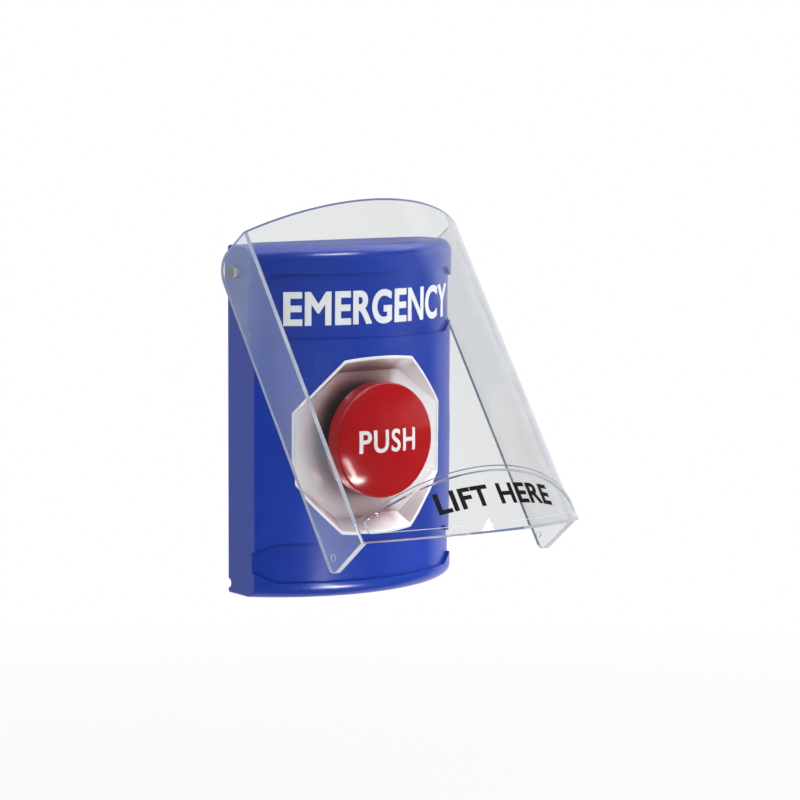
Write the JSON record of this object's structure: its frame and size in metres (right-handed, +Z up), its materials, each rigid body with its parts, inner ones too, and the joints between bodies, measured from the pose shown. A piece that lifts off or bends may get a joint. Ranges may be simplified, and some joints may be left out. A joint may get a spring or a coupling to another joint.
{
  "type": "covered emergency push button",
  "caption": "Wall mounted emergency push button station with a mushroom button in a metal dish and a clear, hinged lift cover.",
  "frame": {"origin": "centre of the housing's rear edge, on the wall plane", "axes": "+X to the right as seen from the front, -Y out of the wall towards the user, +Z up"},
  "size_m": [0.096, 0.1089, 0.1417],
  "materials": {
    "housing_blue": "satin blue moulding",
    "button_red": "smooth red moulding",
    "clear_plastic": "clear, polished moulding",
    "dish_metal": "satin plated sheet",
    "zinc_steel": "zinc plated steel",
    "dark_plastic": "black moulding",
    "grey_plastic": "grey moulding",
    "white_plastic": "white moulding",
    "seal_rubber": "black rubber",
    "board_green": "green coated board",
    "sounder_brass": "plain brass",
    "battery_wrap": "dark wrapped steel can"
  },
  "bodies": {
    "station": {"housing": "housing_blue", "back_plate": "zinc_steel", "housing_screws": "zinc_steel", "button_dish": "dish_metal", "operator_bush": "dark_plastic", "collar_gasket": "seal_rubber", "lock_nut": "zinc_steel", "return_spring": "zinc_steel", "contact_carrier": "dark_plastic", "contact_block_left": "grey_plastic", "contact_block_right": "grey_plastic", "terminal_screws": "zinc_steel", "circuit_board": "board_green", "board_screws": "zinc_steel", "sounder_case": "dark_plastic", "sounder_disc": "sounder_brass", "lead_terminal": "grey_plastic", "battery": "battery_wrap", "battery_snap": "dark_plastic", "battery_tray": "dark_plastic", "tray_screws": "zinc_steel", "cover_switch": "dark_plastic", "switch_lever": "zinc_steel"},
    "button": {"button_head": "button_red", "button_stem": "white_plastic", "contact_plunger_left": "white_plastic", "contact_plunger_right": "white_plastic"},
    "cover": {"shield": "clear_plastic", "pivot_pin_left": "zinc_steel", "pivot_pin_right": "zinc_steel", "switch_cam": "white_plastic", "pin_clip": "zinc_steel"}
  },
  "joints": [
    {"name": "shield_hinge", "type": "hinge", "parent": "station", "child": "cover", "pos_m": [0, -0.0086, 0.0534], "axis": [-1, 0, 0], "range_deg": [-27.3, 49.7]},
    {"name": "button_press", "type": "slide", "parent": "station", "child": "button", "axis": [0, 1, 0], "range_m": [0, 0.003], "stiffness_N_per_m": 800, "springref_m": -0.004, "deforming": ["return_spring"]}
  ]
}
